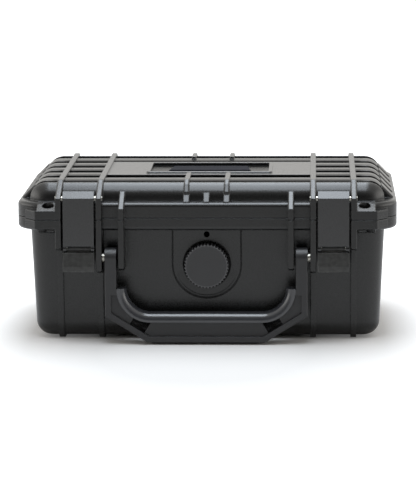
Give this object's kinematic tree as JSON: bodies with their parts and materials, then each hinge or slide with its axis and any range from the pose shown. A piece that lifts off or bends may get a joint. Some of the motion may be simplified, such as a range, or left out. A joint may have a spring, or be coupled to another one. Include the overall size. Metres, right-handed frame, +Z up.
{
  "type": "drone carrying case",
  "caption": "Small rigid carrying case with a hinged ribbed lid, draw latches, folding bail handle, pressure valve and foam lining for a folding camera drone.",
  "frame": {"origin": "on the floor, under the middle of the closed case (bottom centre of its box)", "axes": "+X to the right when facing the latches, +Y from the latches to the hinges, +Z up"},
  "size_m": [0.212, 0.169, 0.09],
  "materials": {
    "case_plastic": "fine-grained moulded plastic",
    "latch_plastic": "fine-grained moulded plastic",
    "fitting_plastic": "plain moulded plastic",
    "grip_plastic": "smooth satin plastic",
    "pin_steel": "polished stainless steel",
    "seal_rubber": "soft sealing rubber",
    "membrane": "breathable membrane",
    "label_metal": "bare dark plate",
    "foam": "open-cell foam"
  },
  "bodies": {
    "base": {"base_shell": "case_plastic", "hinge_pins": "pin_steel", "handle_pins": "pin_steel", "base_foam_pad": "foam", "base_foam": "foam", "valve_bush": "fitting_plastic", "valve_nut": "fitting_plastic", "valve_membrane": "membrane", "valve_clip": "fitting_plastic"},
    "lid": {"lid_shell": "case_plastic", "lid_gasket": "seal_rubber", "lid_foam": "foam", "label_plate": "label_metal", "latch_pins": "pin_steel"},
    "clasp_left": {"latch_clasp_left": "latch_plastic", "lever_pin_left": "pin_steel"},
    "clasp_right": {"latch_clasp_right": "latch_plastic", "lever_pin_right": "pin_steel"},
    "lever_left": {"latch_lever_left": "latch_plastic"},
    "lever_right": {"latch_lever_right": "latch_plastic"},
    "handle": {"handle_bow": "latch_plastic", "handle_grip": "grip_plastic"},
    "valve_seal": {"valve_o_ring": "seal_rubber"},
    "valve_knob": {"valve_knob": "latch_plastic"}
  },
  "joints": [
    {"name": "lid_hinge", "type": "hinge", "parent": "base", "child": "lid", "pos_m": [0, 0.08, 0.07], "axis": [-1, 0, 0], "range_deg": [0, 100]},
    {"name": "clasp_left_hinge", "type": "hinge", "parent": "lid", "child": "clasp_left", "pos_m": [-0.07055, -0.0796, 0.0813], "axis": [-1, 0, 0], "range_deg": [0, 110]},
    {"name": "clasp_right_hinge", "type": "hinge", "parent": "lid", "child": "clasp_right", "pos_m": [0.07055, -0.0796, 0.0813], "axis": [-1, 0, 0], "range_deg": [0, 110]},
    {"name": "lever_left_hinge", "type": "hinge", "parent": "clasp_left", "child": "lever_left", "pos_m": [-0.07055, -0.0786, 0.0534], "axis": [-1, 0, 0], "range_deg": [0, 38]},
    {"name": "lever_right_hinge", "type": "hinge", "parent": "clasp_right", "child": "lever_right", "pos_m": [0.07055, -0.0786, 0.0534], "axis": [-1, 0, 0], "range_deg": [0, 38]},
    {"name": "handle_hinge", "type": "hinge", "parent": "base", "child": "handle", "pos_m": [0, -0.0784, 0.0483], "axis": [-1, 0, 0], "range_deg": [0, 130]},
    {"name": "valve_lift", "type": "slide", "parent": "base", "child": "valve_seal", "axis": [0, -1, 0], "range_m": [0, 0.0015]},
    {"name": "valve_turn", "type": "hinge", "parent": "valve_seal", "child": "valve_knob", "pos_m": [0, -0.076, 0.0429], "axis": [0, -1, 0], "range_deg": [0, 360]}
  ],
  "couplings": [
    {"joint": "valve_lift", "follows": "valve_turn", "m_per_rad": 0.00023873}
  ]
}
